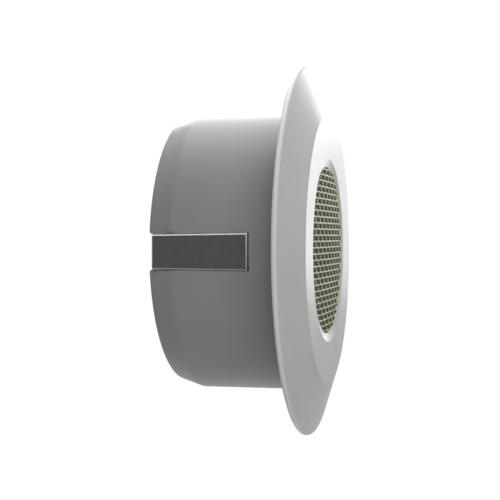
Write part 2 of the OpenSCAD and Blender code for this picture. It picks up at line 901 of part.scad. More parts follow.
// Space behind the right-hand slot in which the tab swings.
module pocket_space() {
    intersection() {
        translate([pocket_floor_x, -pocket_half_w, back_in_z])
            cube([housing_r - pocket_floor_x, pocket_w, pocket_front_z - back_in_z]);
        inside_space(0);
    }
}

// One side of the slot's outline, from its closed end to its rounded corner at the back.
function slot_side(side) = concat(
    [[side * slot_front_half_w, slot_front_z]],
    [for (step = [0:mouth_steps])
        let (a = 90 * step / mouth_steps)
            [side * (slot_back_half_w + mouth_r - mouth_r * cos(a)), mouth_z - mouth_r * sin(a)]],
    [[side * (slot_back_half_w + mouth_r), back_z - overrun]]
);

// Slot for the right-hand tab, as deep as its pocket and open at the housing's back.
module slot_space() {
    right_side = slot_side(1);
    left_side = slot_side(-1);
    translate([pocket_floor_x, 0, 0])
        rotate([90, 0, 90])
            linear_extrude(housing_r)
                polygon(concat(right_side, [for (i = [len(left_side) - 1:-1:0]) left_side[i]]));
}

// Bosses on both sides of the right-hand slot that hold the pivot pin.
module pivot_bosses() {
    boss_start = slot_back_half_w + slot_gap;
    boss_w = pocket_half_w - boss_start + pocket_wall / 2;
    intersection() {
        for (side = [-1, 1])
            translate([pivot_x, side * (boss_start + boss_w / 2), pivot_z])
                rotate([90, 0, 0])
                    cylinder(r = knuckle_r, h = boss_w, center = true);
        inside_space(housing_wall / 2);
    }
}

// The housing: a can with a closed back and a pocket behind each of its two slots.
module housing() {
    color("lightgray")
        facing_forward()
            difference() {
                union() {
                    difference() {
                        union() {
                            rotate_extrude()
                                housing_profile();
                            for (side = [0, 1])
                                mirror([side, 0, 0])
                                    pocket_walls();
                        }
                        for (side = [0, 1])
                            mirror([side, 0, 0]) {
                                pocket_space();
                                slot_space();
                            }
                    }
                    for (side = [0, 1])
                        mirror([side, 0, 0]) {
                            pivot_bosses();
                            translate([pocket_floor_x - seat_gap, 0, spring_z])
                                rotate([0, 90, 0])
                                    cylinder(r = spring_boss_r, h = spring_boss_h + seat_gap);
                        }
                }
                for (side = [0, 1])
                    mirror([side, 0, 0])
                        translate([pivot_x, 0, pivot_z])
                            rotate([90, 0, 0])
                                cylinder(r = pin_r + thread_gap, h = pin_l + overrun, center = true);
                disc(gland_r + fit_gap, back_z - overrun, back_in_z + overrun);
                round_places(3, post_circle_r, pillar_angle)
                    disc(hole_r, back_z - overrun, back_in_z + overrun);
                round_places(3, post_circle_r, pillar_angle)
                    translate([0, 0, back_z])
                        cylinder(r1 = csk_r + fit_gap, r2 = shank_r + fit_gap, h = csk_head_h);
            }
}

// Rubber ring between the spigot and the housing.
module housing_ring_seal() {
    color("black")
        facing_forward()
            rotate_extrude()
                translate([o_ring_centre_r, o_ring_z])
                    circle(r = o_ring_r, $fn = small_fn);
}

// Screws through the housing's back into the flange's pillars.
module housing_screws() {
    color("silver")
        facing_forward()
            round_places(3, post_circle_r, pillar_angle)
                translate([0, 0, back_z])
                    csk_screw(housing_screw_l);
}

// Foam ring in the flange's back.
module wall_gasket() {
    color("black")
        facing_forward()
            ring(channel_out_r - loose_gap, channel_in_r + loose_gap, 0, channel_depth - seat_gap);
}

// Gland: a threaded tube through the housing's back with a fixed hexagon outside.
module gland_body() {
    color("darkslategray")
        facing_forward()
            difference() {
                union() {
                    disc(gland_r, thread_back_z, gland_in_z);
                    hexagon(hex_back_z, washer_back_z);
                }
                disc(gland_bore_r, thread_back_z - overrun, bush_front_z + seat_gap);
                disc(gland_throat_r, thread_back_z - overrun, gland_in_z + overrun);
            }
}

// Flat rubber ring under the gland's hexagon.
module gland_washer() {
    color("black")
        facing_forward()
            ring(gland_flats / 2, gland_r + fit_gap, washer_back_z, back_z);
}

// Nut that holds the gland from inside.
module gland_lock_nut() {
    color("silver")
        facing_forward()
            difference() {
                hexagon(back_in_z, back_in_z + lock_nut_t);
                disc(gland_r + thread_gap, back_in_z - overrun, back_in_z + lock_nut_t + overrun);
            }
}

// Rubber bush that grips the supply cable.
module gland_bush() {
    color("black")
        facing_forward()
            ring(bush_r, bush_in_r, bush_back_z, bush_front_z);
}

// Cap nut that squeezes the bush.
module gland_cap() {
    color("darkslategray")
        facing_forward()
            difference() {
                hexagon(gland_cap_back_z, gland_cap_front_z);
                disc(gland_r + thread_gap, gland_cap_wall, gland_cap_front_z + overrun);
                disc(gland_throat_r, gland_cap_back_z - overrun, gland_cap_front_z + overrun);
            }
}

// Side view of a tab's outer plate, its outer corners rounded.
module tab_side_profile() {
    translate([tab_inner_x, tab_back_z])
        square([tab_t - tab_edge_r, tab_l]);
    translate([tab_inner_x, tab_back_z + tab_edge_r])
        square([tab_t, tab_l - 2 * tab_edge_r]);
    for (end_z = [tab_back_z + tab_edge_r, tab_front_z - tab_edge_r])
        translate([tab_face_x - tab_edge_r, end_z])
            circle(r = tab_edge_r, $fn = small_fn);
}

// Section of one edge of the plate: square inside, rounded outside.
module tab_edge_section() {
    translate([tab_inner_x - overrun, -2 * tab_w])
        square([tab_t + overrun - tab_edge_r, 2 * tab_w]);
    translate([tab_inner_x - overrun, -2 * tab_w])
        square([tab_t + overrun, 2 * tab_w - tab_edge_r]);
    translate([tab_face_x - tab_edge_r, -tab_edge_r])
        circle(r = tab_edge_r, $fn = small_fn);
}

// The outer plate of a tab, a little narrower towards its back end.
module tab_plate() {
    intersection() {
        translate([0, tab_w, 0])
            rotate([90, 0, 0])
                linear_extrude(tab_w * 2)
                    tab_side_profile();
        tab_edge_slab();
        mirror([0, 1, 0])
            tab_edge_slab();
    }
}

// A slab whose rounded edge runs along one tapered side of the plate.
module tab_edge_slab() {
    translate([0, tab_w / 2, tab_front_z])
        rotate([-tab_taper, 0, 0])
            translate([0, 0, -tab_l - overrun])
                linear_extrude(tab_l + 2 * overrun)
                    tab_edge_section();
}

// A right-hand tab: plate, ribs, stop lip, spring boss and pivot knuckle.
module right_hand_tab() {
    difference() {
        union() {
            tab_plate();
            translate([stop_inner_x, -stop_w / 2, stop_front_z - stop_l])
                cube([stop_t, stop_w, stop_l]);
            translate([stop_inner_x, -knuckle_half_w, stop_front_z - stop_l])
                cube([tab_inner_x - stop_inner_x + seat_gap, knuckle_half_w * 2, stop_l]);
            for (side = [-1, 1])
                translate([tab_inner_x - rib_h, side * (knuckle_half_w - rib_t / 2) - rib_t / 2, pivot_z])
                    cube([rib_h + seat_gap, rib_t, stop_front_z - pivot_z]);
            translate([tab_inner_x - spring_boss_h, 0, spring_z])
                rotate([0, 90, 0])
                    cylinder(r = spring_boss_r, h = spring_boss_h + seat_gap);
            translate([pivot_x, 0, pivot_z])
                rotate([90, 0, 0])
                    cylinder(r = knuckle_r, h = knuckle_half_w * 2, center = true);
            translate([pivot_x, -knuckle_half_w, pivot_z - knuckle_r])
                cube([tab_inner_x - pivot_x + seat_gap, knuckle_half_w * 2, knuckle_r * 2]);
        }
        translate([pivot_x, 0, pivot_z])
            rotate([90, 0, 0])
                cylinder(r = knuckle_bore_r, h = stop_w, center = true);
    }
}

module right_tab() {
    color("dimgray")
        facing_forward()
            right_hand_tab();
}

module left_tab() {
    color("dimgray")
        facing_forward()
            mirror([1, 0, 0])
                right_hand_tab();
}

// The pin on which the right-hand tab turns.
module right_hand_pin() {
    translate([pivot_x, 0, pivot_z])
        rotate([90, 0, 0])
            cylinder(r = pin_r, h = pin_l, center = true);
}

module right_pivot_pin() {
    color("silver")
        facing_forward()
            right_hand_pin();
}

module left_pivot_pin() {
    color("silver")
        facing_forward()
            mirror([1, 0, 0])
                right_hand_pin();
}

// A point of the coil, at a number of rings from its start, off the wire's middle by two distances.
function coil_point(step, out, along) =
    let (turn = step * 360 * spring_turns / coil_rings, r = coil_r + out)
        [coil_start_x + coil_pitch * turn / 360 + along, r * cos(turn), r * sin(turn) + spring_z];

// Points of one ring of the coil's wire.
function coil_ring(step) =
    [for (side = [0:coil_sides - 1])
        let (a = side * 360 / coil_sides)
            coil_point(step, spring_wire / 2 * cos(a), spring_wire / 2 * sin(a))];

// Least gap of the coil's wire to itself, measured on its middle points.
coil_gap = min([
    for (step = [0:coil_rings - rings_per_turn], later = [step + rings_per_turn / 2:coil_rings])
        norm(coil_point(step, 0, 0) - coil_point(later, 0, 0))
]) - spring_wire;
echo(least_gap_of_the_coil = coil_gap);

// A tab's coil spring: one unbroken wire of even pitch.
module right_hand_spring() {
    points = [for (step = [0:coil_rings]) each coil_ring(step)];
    walls = [
        for (step = [0:coil_rings - 1], side = [0:coil_sides - 1])
            let (next = (side + 1) % coil_sides)
                let (a = step * coil_sides + side, b = step * coil_sides + next)
                    each [[a, b, b + coil_sides], [a, b + coil_sides, a + coil_sides]]
    ];
    first = [for (side = [1:coil_sides - 2]) [0, side + 1, side]];
    last_start = coil_rings * coil_sides;
    last = [for (side = [1:coil_sides - 2]) [last_start, last_start + side, last_start + side + 1]];
    polyhedron(points, concat(walls, first, last));
}

module right_tab_spring() {
    color("silver")
        facing_forward()
            right_hand_spring();
}

module left_tab_spring() {
    color("silver")
        facing_forward()
            mirror([1, 0, 0])
                right_hand_spring();
}

trim_ring();
lens();
lens_seal();
lens_retainer();
retainer_screws();
reflector();
led_board();
led_chips();
led_board_screws();
thermal_pad();
heat_sink();
heat_sink_screws();
driver_case();
driver_board();
driver_screws();
transformer();
choke();
capacitors();
terminal_block();
led_leads();
driver_cap();
housing();
housing_ring_seal();
housing_screws();
wall_gasket();
gland_body();
gland_washer();
gland_lock_nut();
gland_bush();
gland_cap();
left_tab();
right_tab();
left_pivot_pin();
right_pivot_pin();
left_tab_spring();
right_tab_spring();
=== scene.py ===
import json
import math

import bpy
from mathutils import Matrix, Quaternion, Vector


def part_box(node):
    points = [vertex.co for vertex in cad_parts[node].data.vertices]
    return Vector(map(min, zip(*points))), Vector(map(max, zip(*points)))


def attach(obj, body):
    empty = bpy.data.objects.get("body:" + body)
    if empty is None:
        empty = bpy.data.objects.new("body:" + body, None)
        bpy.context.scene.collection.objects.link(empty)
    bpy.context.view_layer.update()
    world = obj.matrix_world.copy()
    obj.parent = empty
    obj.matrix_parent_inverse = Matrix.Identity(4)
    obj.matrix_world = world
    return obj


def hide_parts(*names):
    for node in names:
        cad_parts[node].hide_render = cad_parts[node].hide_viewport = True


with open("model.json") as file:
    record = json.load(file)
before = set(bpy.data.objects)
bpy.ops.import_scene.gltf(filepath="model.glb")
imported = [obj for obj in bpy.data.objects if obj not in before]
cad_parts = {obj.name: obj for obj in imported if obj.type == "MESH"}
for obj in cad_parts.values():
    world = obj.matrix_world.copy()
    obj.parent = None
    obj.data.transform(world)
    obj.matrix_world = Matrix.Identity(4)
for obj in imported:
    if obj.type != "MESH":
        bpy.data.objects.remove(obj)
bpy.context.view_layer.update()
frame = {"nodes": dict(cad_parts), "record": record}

# Lengths are in metres, but for those whose names end in mm
MM = 0.001
FLANGE_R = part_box("trim_ring")[1].z

# Where the can begins to narrow, and how its crease there is softened
TAPER_L = 6.3 * MM
CREASE_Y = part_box("housing")[1].y - TAPER_L
CREASE_SOFT_MM = 2
BEVEL_SAMPLES = 8

# Sizes of the lens, the same as in the part's source
lens_low, lens_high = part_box("lens")
LENS_RIM_R = lens_high.z
LENS_R = 22.4 * MM
LENS_RIM_T = 1.8 * MM
LENS_CROWN = 0.5 * MM
BEAD_PITCH = 3.23 * MM
COLUMN_PITCH = BEAD_PITCH * math.sqrt(3) / 2
ROW_PITCH = BEAD_PITCH / 2
BEAD_GAP = 0.07 * MM
BEAD_HEIGHT = 0.65 * MM
SEAT_GAP = 0.05 * MM

# How far the middle of a bead may lie beyond the lens's edge, as a share of its radius
EDGE_BEAD_SHARE = 0.7

# Steps of the meshes, and the distance at which their points are merged
LATHE_STEPS = 192
CROWN_STEPS = 12
BEAD_SEGMENTS = 12
BEAD_RINGS = 16
MERGE_DISTANCE = 0.002 * MM
SMOOTH_DEGREES = 40

# The lens: its colours from the dark beads to the painted light between their rows, the painted highlight on
# each bead, its grain
BEAD_AND_LIGHT_STOPS = [(0.0, "#505336"), (0.45, "#55573a"), (0.66, "#646547"), (0.8, "#bdbfa3"), (1.0, "#d5d7be")]
LINE_SWAY = 0.05
BEAD_HIGHLIGHT_COLOUR = "#b6b99c"
BEAD_HIGHLIGHT_START = 0.6
BEAD_HIGHLIGHT_FULL = 0.85
BEAD_HIGHLIGHT_NARROWING = 8
LENS_GRAIN_MM = 0.3
LENS_ROUGHNESS = (0.3, 0.42)

# The outer face and the half width of the tabs
TAB_FACE_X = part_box("right_tab")[1].x
TAB_HALF_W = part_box("right_tab")[1].z

# The painted highlight on the tabs' rounded edges: its width, its place in that band, its colour and how
# faint it is at the bottom, where less light falls
HIGHLIGHT_BAND_W = 0.4 * MM
HIGHLIGHT_BAND_STOPS = [(0.0, "#000000"), (0.1, "#ffffff"), (0.9, "#ffffff"), (0.96, "#000000")]
PAINTED_HIGHLIGHT_COLOUR = "#d8d9da"
LEAST_HIGHLIGHT = 0.3

# Where a colour ramp's new stops start out
RAMP_MIDDLE = 0.5

# The drift of a surface's colour, the detail of its textures and the spread of its gloss
DRIFT_START = 0.3
DRIFT_END = 0.7
PATCH_DETAIL = 3
GRAIN_DETAIL = 2
LENS_GRAIN_DETAIL = 1
GLOSS_SPREAD = 0.12

# The view: turned from a square side view, at a distance in flange radii
VIEW_TURN = math.radians(13.22)
VIEW_ROUND_AXIS = math.radians(0.7)
VIEW_DISTANCE = 6.308 * FLANGE_R
VIEW_STEP = 0.3215 * FLANGE_R
FOCAL_PIXELS = 1153.6
FRAME_PIXELS = 500
SENSOR_MM = 36
CLIP_START = 10 * MM

# The floor, under the object and out of the photograph's view
FLOOR_Z = -0.8
FLOOR_FRONT = -1.6
FLOOR_BACK = 1.3
FLOOR_W = 3
FLOOR_GLOW = 0.85

# The world's white, and the strength of its own light on the object
WHITE = (1, 1, 1, 1)
WORLD_FILL = 0.05

# Soft lamps, all turned to the object: place, length of a side, power in watts
LAMPS = {
    "left": ((-1.2, -0.2, 0.25), 0.6, 6.3),
    "front_left": ((-0.9, -0.7, 0.3), 0.5, 3.9),
    "over_the_face": ((0, -0.08, 0.6), 0.3, 1.4),
    "overhead": ((0.35, 0.2, 1), 0.8, 11.4),
    "far_back": ((0.9, 0.25, 0.55), 0.5, 6),
    "far_front": ((1.2, -0.12, 0.08), 0.3, 1.5),
    "far_high": ((1.2, -0.14, 0.3), 0.3, 3.1),
}

# Sockets of the mix node for each kind of value: the first value, the second value and the result
MIX_SOCKETS = {"VECTOR": (4, 5, 1), "RGBA": (6, 7, 2)}


# Shader nodes


def linear(hex_colour):
    """The linear colour of an sRGB hex value."""
    shares = [int(hex_colour[i:i + 2], 16) / 255 for i in (1, 3, 5)]
    straight = [s / 12.92 if s <= 0.04045 else ((s + 0.055) / 1.055) ** 2.4 for s in shares]
    return (*straight, 1)


def per_metre(millimetres):
    """A texture's scale for details of this size."""
    return 1 / (millimetres * MM)


def fill_ramp(stops, values):
    """Sets the stops of a colour ramp to pairs of place and hex colour."""
    while len(stops) < len(values):
        stops.new(RAMP_MIDDLE)
    for stop, (place, colour) in zip(stops, values):
        stop.position = place
        stop.color = linear(colour)


def add_node(tree, kind, settings=()):
    """Adds a node. Settings are its properties, its inputs' values or links, and a ramp's stops."""
    made = tree.nodes.new("ShaderNode" + kind)
    for name, value in dict(settings).items():
        if name == "stops":
            fill_ramp(made.color_ramp.elements, value)
        elif isinstance(value, bpy.types.NodeSocket):
            tree.links.new(value, made.inputs[name])
        elif isinstance(name, int) or name in made.inputs:
            made.inputs[name].default_value = value
        else:
            setattr(made, name, value)
    return made


def worked_out(tree, operation, *values):
    """The output of a math node that is fed with numbers or other nodes' outputs."""
    return add_node(tree, "Math", {"operation": operation, **dict(enumerate(values))}).outputs[0]


def ranged(tree, value, settings):
    """The output of a node that maps a value from one range to another."""
    return add_node(tree, "MapRange", {**settings, "Value": value}).outputs["Result"]


def mixed(tree, kind, share, first, second):
    """The output of a node that mixes two vectors or two colours."""
    first_input, second_input, output = MIX_SOCKETS[kind]
    settings = {"data_type": kind, 0: share, first_input: first, second_input: second}
    return add_node(tree, "Mix", settings).outputs[output]


def object_place(tree):
    """The place on the object."""
    return add_node(tree, "TexCoord").outputs["Object"]


def noise(tree, place, size_mm, detail):
    """Soft noise with features of this size."""
    settings = {"Scale": per_metre(size_mm), "Detail": detail, "Vector": place}
    return add_node(tree, "TexNoise", settings).outputs["Fac"]


# Finishes


def new_material(name):
    """A material with an empty node tree."""
    material = bpy.data.materials.new(name)
    material.use_nodes = True
    material.node_tree.nodes.clear()
    return material, material.node_tree


def finish(name, colours, patch_mm, grain_mm, grain_depth_mm, roughness, metallic=0, ior=1.5, sheen=0.5):
    """A surface whose colour drifts between two values, with a fine grain in its relief and gloss."""
    material, tree = new_material(name)
    place = object_place(tree)
    patches = noise(tree, place, patch_mm, PATCH_DETAIL)
    grain = noise(tree, place, grain_mm, GRAIN_DETAIL)
    drift = [(DRIFT_START, colours[0]), (DRIFT_END, colours[1])]
    colour = add_node(tree, "ValToRGB", {"stops": drift, "Fac": patches}).outputs["Color"]
    gloss = ranged(tree, grain, {"To Min": roughness * (1 - GLOSS_SPREAD),
                                 "To Max": roughness * (1 + GLOSS_SPREAD)})
    relief = add_node(tree, "Bump", {"Strength": 1, "Distance": grain_depth_mm * MM, "Height": grain})
    settings = {"Metallic": metallic, "Base Color": colour, "Roughness": gloss,
                "Normal": relief.outputs["Normal"]}
    if not metallic:
        settings.update({"IOR": ior, "Specular IOR Level": sheen})
    surface = add_node(tree, "BsdfPrincipled", settings)
    add_node(tree, "OutputMaterial", {"Surface": surface.outputs["BSDF"]})
    return material


def soften(material, crease_y, radius_mm):
    """Lets the light run smoothly over the shallow crease that lies round the can at this place."""
    tree = material.node_tree
    radius = radius_mm * MM
    along = add_node(tree, "SeparateXYZ", {"Vector": object_place(tree)}).outputs["Y"]
    distance = worked_out(tree, "ABSOLUTE", worked_out(tree, "SUBTRACT", along, crease_y))
    near = ranged(tree, distance, {"From Min": radius, "From Max": radius / 2})
    plain = add_node(tree, "NewGeometry").outputs["Normal"]
    rounded = add_node(tree, "Bevel", {"samples": BEVEL_SAMPLES, "Radius": radius}).outputs["Normal"]
    tree.links.new(mixed(tree, "VECTOR", near, plain, rounded), tree.nodes["Bump"].inputs["Normal"])


def paint_edge_highlights(material):
    """Paints a pale highlight on the band just below the outer face, where the rounded edges are, brightest
    at the top where the light falls from above.
    """
    tree = material.node_tree
    base = tree.nodes["Principled BSDF"].inputs["Base Color"]
    nylon_colour = base.links[0].from_socket
    split = add_node(tree, "SeparateXYZ", {"Vector": object_place(tree)})
    out = worked_out(tree, "ABSOLUTE", split.outputs["X"])
    band = ranged(tree, out, {"From Min": TAB_FACE_X - HIGHLIGHT_BAND_W, "From Max": TAB_FACE_X})
    highlight_band = add_node(tree, "ValToRGB", {"stops": HIGHLIGHT_BAND_STOPS, "Fac": band}).outputs["Color"]
    # Painted light from above: the highlight fades towards the bottom edge
    light_from_above = ranged(tree, split.outputs["Z"], {"From Min": -TAB_HALF_W, "From Max": TAB_HALF_W,
                                             "To Min": LEAST_HIGHLIGHT, "To Max": 1})
    highlight_share = worked_out(tree, "MULTIPLY", highlight_band, light_from_above)
    # Lays the painted highlight over the nylon's own colour
    tree.links.new(mixed(tree, "RGBA", highlight_share, nylon_colour, linear(PAINTED_HIGHLIGHT_COLOUR)), base)


def seen_rays(tree):
    """One for rays from the camera, from gloss and through clear things, and nought for the others."""
    path = add_node(tree, "LightPath")
    camera_or_gloss = worked_out(tree, "MAXIMUM", path.outputs["Is Camera Ray"],
                                 path.outputs["Is Glossy Ray"])
    return worked_out(tree, "MAXIMUM", camera_or_gloss, path.outputs["Is Transmission Ray"])


def whiten(material, glow):
    """Lifts the paper to white where it is seen, so that only the object's shadow stays on it."""
    tree = material.node_tree
    surface = tree.nodes["Principled BSDF"]
    surface.inputs["Emission Color"].default_value = WHITE
    tree.links.new(worked_out(tree, "MULTIPLY", seen_rays(tree), glow), surface.inputs["Emission Strength"])


# Powder coat on a die-cast flange: off-white, satin, with a faint orange peel
powder_coat = finish("powder_coat", ("#cbcbcb", "#d1d1d0"), patch_mm=14, grain_mm=1.1,
                     grain_depth_mm=0.004, roughness=0.34, sheen=0.06)

# Satin paint on a drawn can: mid grey, with a finer grain than the flange's
satin_paint = finish("satin_paint", ("#828282", "#878787"), patch_mm=18, grain_mm=0.7,
                     grain_depth_mm=0.006, roughness=0.38, sheen=0.1)
soften(satin_paint, CREASE_Y, CREASE_SOFT_MM)

# Glass-filled nylon: dark grey and matt, with the fibres' fine mottle and a painted highlight along its
# rounded edges, brightest at the top
filled_nylon = finish("glass_filled_nylon", ("#3d3e3e", "#444545"), patch_mm=2.2, grain_mm=0.35,
                      grain_depth_mm=0.02, roughness=0.5, sheen=0.25)
paint_edge_highlights(filled_nylon)

# Moulded nylon of the gland: darker and smoother
gland_nylon = finish("gland_nylon", ("#2f3032", "#36373a"), patch_mm=6, grain_mm=0.5,
                     grain_depth_mm=0.01, roughness=0.45, ior=1.53)

# Silicone rubber: black, with a dull sheen
silicone_rubber = finish("silicone_rubber", ("#1b1b1b", "#222222"), patch_mm=5, grain_mm=0.4,
                         grain_depth_mm=0.01, roughness=0.6, ior=1.41)

# Closed-cell foam: black, with small open-looking cells
cell_foam = finish("closed_cell_foam", ("#202021", "#2c2c2d"), patch_mm=0.9, grain_mm=0.45,
                   grain_depth_mm=0.12, roughness=0.85, ior=1.4)

# Zinc plating: bright grey metal with a slight blue cast and soft blotches
zinc_plating = finish("zinc_plating", ("#b9bcc0", "#cdcfd2"), patch_mm=2.5, grain_mm=0.3,
                      grain_depth_mm=0.004, roughness=0.32, metallic=1)

# Drawn spring wire: darker metal with fine draw marks
spring_wire = finish("spring_wire", ("#9a9a9b", "#b4b4b5"), patch_mm=1.2, grain_mm=0.15,
                     grain_depth_mm=0.003, roughness=0.3, metallic=1)

# Die-cast aluminium: matt, with a granular skin
cast_aluminium = finish("die_cast_aluminium", ("#a9aaac", "#bdbec0"), patch_mm=4, grain_mm=0.5,
                        grain_depth_mm=0.02, roughness=0.48, metallic=1)

# White acrylic-coated reflector: bright and even
reflector_white = finish("reflector_white", ("#f0f0ee", "#f4f4f2"), patch_mm=10, grain_mm=0.8,
                         grain_depth_mm=0.003, roughness=0.25)

# White solder mask on the light board: slightly glossy and uneven
mask_white = finish("white_solder_mask", ("#ecece8", "#f1f1ee"), patch_mm=5, grain_mm=0.6,
                    grain_depth_mm=0.004, roughness=0.35)

# Phosphor under a clear window: yellow and smooth
phosphor = finish("phosphor_window", ("#dcc34c", "#e6d06a"), patch_mm=1.5, grain_mm=0.4,
                  grain_depth_mm=0.002, roughness=0.15)

# Filled silicone pad: soft blue-grey with specks
thermal_pad = finish("filled_silicone_pad", ("#8895a4", "#9aa6b4"), patch_mm=0.8, grain_mm=0.3,
                     grain_depth_mm=0.01, roughness=0.7, ior=1.41)

# Flame-retardant plastic of the driver's case: off-white, lightly textured
case_plastic = finish("case_plastic", ("#d8d5cb", "#dedbd2"), patch_mm=8, grain_mm=0.4,
                      grain_depth_mm=0.01, roughness=0.5)

# Green solder mask over glass cloth
solder_mask = finish("green_solder_mask", ("#1c5a34", "#246a3f"), patch_mm=1.6, grain_mm=0.5,
                     grain_depth_mm=0.006, roughness=0.3)

# Polyester tape round a winding: yellow, glossy, slightly wrinkled
polyester_tape = finish("polyester_tape", ("#c9a43c", "#d4b250"), patch_mm=3, grain_mm=0.9,
                        grain_depth_mm=0.03, roughness=0.28)

# Enamelled copper wire, wound close
enamelled_copper = finish("enamelled_copper", ("#8a4a26", "#a35c33"), patch_mm=1, grain_mm=0.5,
                          grain_depth_mm=0.06, roughness=0.3)

# Shrink sleeve of a capacitor: dark blue and glossy
shrink_sleeve = finish("shrink_sleeve", ("#20244e", "#272c5c"), patch_mm=3, grain_mm=0.6,
                       grain_depth_mm=0.004, roughness=0.25)

# Green nylon of the terminal block
terminal_nylon = finish("terminal_nylon", ("#2c7a4c", "#34885a"), patch_mm=4, grain_mm=0.4,
                        grain_depth_mm=0.008, roughness=0.45)

# Red silicone insulation of the leads
lead_silicone = finish("lead_silicone", ("#a52a2a", "#b23434"), patch_mm=3, grain_mm=0.4,
                       grain_depth_mm=0.006, roughness=0.5, ior=1.41)

# Studio paper: white, matt and even
floor_paper = finish("studio_paper", ("#d7d7d5", "#dbdbd9"), patch_mm=60, grain_mm=1.5,
                     grain_depth_mm=0.01, roughness=0.8)
whiten(floor_paper, FLOOR_GLOW)


def beaded_acrylic():
    """Olive acrylic: rows of dark beads, each with a painted highlight in its middle, and painted light in
    wavy pale lines between the rows.
    """
    material, tree = new_material("beaded_acrylic")
    place = object_place(tree)
    split = add_node(tree, "SeparateXYZ", {"Vector": place})
    across = worked_out(tree, "MULTIPLY", split.outputs["X"], math.pi / COLUMN_PITCH)
    up = worked_out(tree, "MULTIPLY", split.outputs["Z"], math.pi / ROW_PITCH)
    column_wave = worked_out(tree, "COSINE", across)
    row_wave = worked_out(tree, "COSINE", up)
    sway = worked_out(tree, "MULTIPLY", column_wave, worked_out(tree, "SINE", up))
    swayed = worked_out(tree, "MULTIPLY_ADD", sway, -LINE_SWAY * math.pi, up)
    # Painted light: pale wavy lines between the rows of beads
    rows = ranged(tree, worked_out(tree, "PINGPONG", swayed, math.pi / 2), {"From Max": math.pi / 2})
    beads_and_light = add_node(tree, "ValToRGB", {"stops": BEAD_AND_LIGHT_STOPS, "Fac": rows}).outputs["Color"]
    # The painted highlight in each bead's middle, narrowed to a small spot
    narrowed = worked_out(tree, "POWER", worked_out(tree, "ABSOLUTE", row_wave), BEAD_HIGHLIGHT_NARROWING)
    middle = worked_out(tree, "MULTIPLY", column_wave, row_wave)
    spot = worked_out(tree, "MULTIPLY", middle, narrowed)
    bead_highlights = ranged(tree, spot, {"From Min": BEAD_HIGHLIGHT_START, "From Max": BEAD_HIGHLIGHT_FULL})
    grain = noise(tree, place, LENS_GRAIN_MM, LENS_GRAIN_DETAIL)
    gloss = ranged(tree, grain, {"To Min": LENS_ROUGHNESS[0], "To Max": LENS_ROUGHNESS[1]})
    colour = mixed(tree, "RGBA", bead_highlights, beads_and_light, linear(BEAD_HIGHLIGHT_COLOUR))
    surface = add_node(tree, "BsdfPrincipled", {"IOR": 1.49, "Specular IOR Level": 0.08,
                                                "Base Color": colour, "Roughness": gloss})
    add_node(tree, "OutputMaterial", {"Surface": surface.outputs["BSDF"]})
    return material


acrylic = beaded_acrylic()

FINISHES = {
    "flange_finish": powder_coat,
    "housing_finish": satin_paint,
    "lens_plastic": acrylic,
    "tab_nylon": filled_nylon,
    "rubber": silicone_rubber,
    "gasket_foam": cell_foam,
    "zinc_steel": zinc_plating,
    "spring_steel": spring_wire,
    "cast_aluminium": cast_aluminium,
    "reflector_white": reflector_white,
    "led_board_white": mask_white,
    "chip_phosphor": phosphor,
    "pad_silicone": thermal_pad,
    "case_plastic": case_plastic,
    "circuit_board": solder_mask,
    "transformer_tape": polyester_tape,
    "choke_copper": enamelled_copper,
    "capacitor_sleeve": shrink_sleeve,
    "terminal_plastic": terminal_nylon,
    "lead_insulation": lead_silicone,
    "gland_nylon": gland_nylon,
}


def dress(piece, material):
    """Gives a piece one material."""
    piece.data.materials.clear()
    piece.data.materials.append(material)


for subpart in frame["record"]["subparts"]:
    dress(frame["nodes"][subpart["node"]], FINISHES[subpart["material_slot"]])


# Modelling


def deselect_all():
    """Leaves nothing selected, the frame's nodes included."""
    if bpy.context.object and bpy.context.object.mode != "OBJECT":
        bpy.ops.object.mode_set(mode="OBJECT")
    bpy.ops.object.select_all(action="DESELECT")


def settle(piece):
    """Puts the piece's place into its mesh and shades it smooth where it bends little."""
    deselect_all()
    piece.select_set(True)
    bpy.context.view_layer.objects.active = piece
    bpy.ops.object.transform_apply(location=True, rotation=True, scale=True)
    bpy.ops.object.shade_smooth_by_angle(angle=math.radians(SMOOTH_DEGREES))


def join(pieces, name):
    """Joins pieces into the first one."""
    deselect_all()
    for piece in pieces:
        piece.select_set(True)
    bpy.context.view_layer.objects.active = pieces[0]
    bpy.ops.object.join()
    pieces[0].name = name
    return pieces[0]


def lathe(name, outline):
    """Turns an outline about the light's axis. It runs from the axis to the axis again.

    Its points are pairs of a radius and a distance along +Y.
    """
    deselect_all()
    bpy.ops.mesh.primitive_plane_add(size=MM)
    piece = bpy.context.object
    piece.name = name
    bpy.ops.object.mode_set(mode="EDIT")
    bpy.ops.mesh.select_all(action="SELECT")
    bpy.ops.mesh.merge(type="CENTER")
    bpy.ops.transform.translate(value=(outline[0][0], outline[0][1], 0))
    for before, after in zip(outline, outline[1:]):
        step = Vector((after[0] - before[0], after[1] - before[1], 0))
        bpy.ops.mesh.extrude_region_move(TRANSFORM_OT_translate={"value": step})
    bpy.ops.mesh.select_all(action="SELECT")
    bpy.ops.mesh.spin(steps=LATHE_STEPS, angle=math.tau, center=(0, 0, 0), axis=(0, 1, 0))
    bpy.ops.mesh.select_all(action="SELECT")
    bpy.ops.mesh.remove_doubles(threshold=MERGE_DISTANCE)
    bpy.ops.mesh.normals_make_consistent(inside=False)
    bpy.ops.object.mode_set(mode="OBJECT")
    return piece


# Lens

rim_back_y = lens_high.y
rim_front_y = rim_back_y - LENS_RIM_T
crown_front_y = lens_low.y + BEAD_HEIGHT
crown_ball_r = (LENS_R ** 2 + LENS_CROWN ** 2) / (2 * LENS_CROWN)
bead_r = (BEAD_PITCH - BEAD_GAP) / 2
bead_ball_r = (bead_r ** 2 + BEAD_HEIGHT ** 2) / (2 * BEAD_HEIGHT)


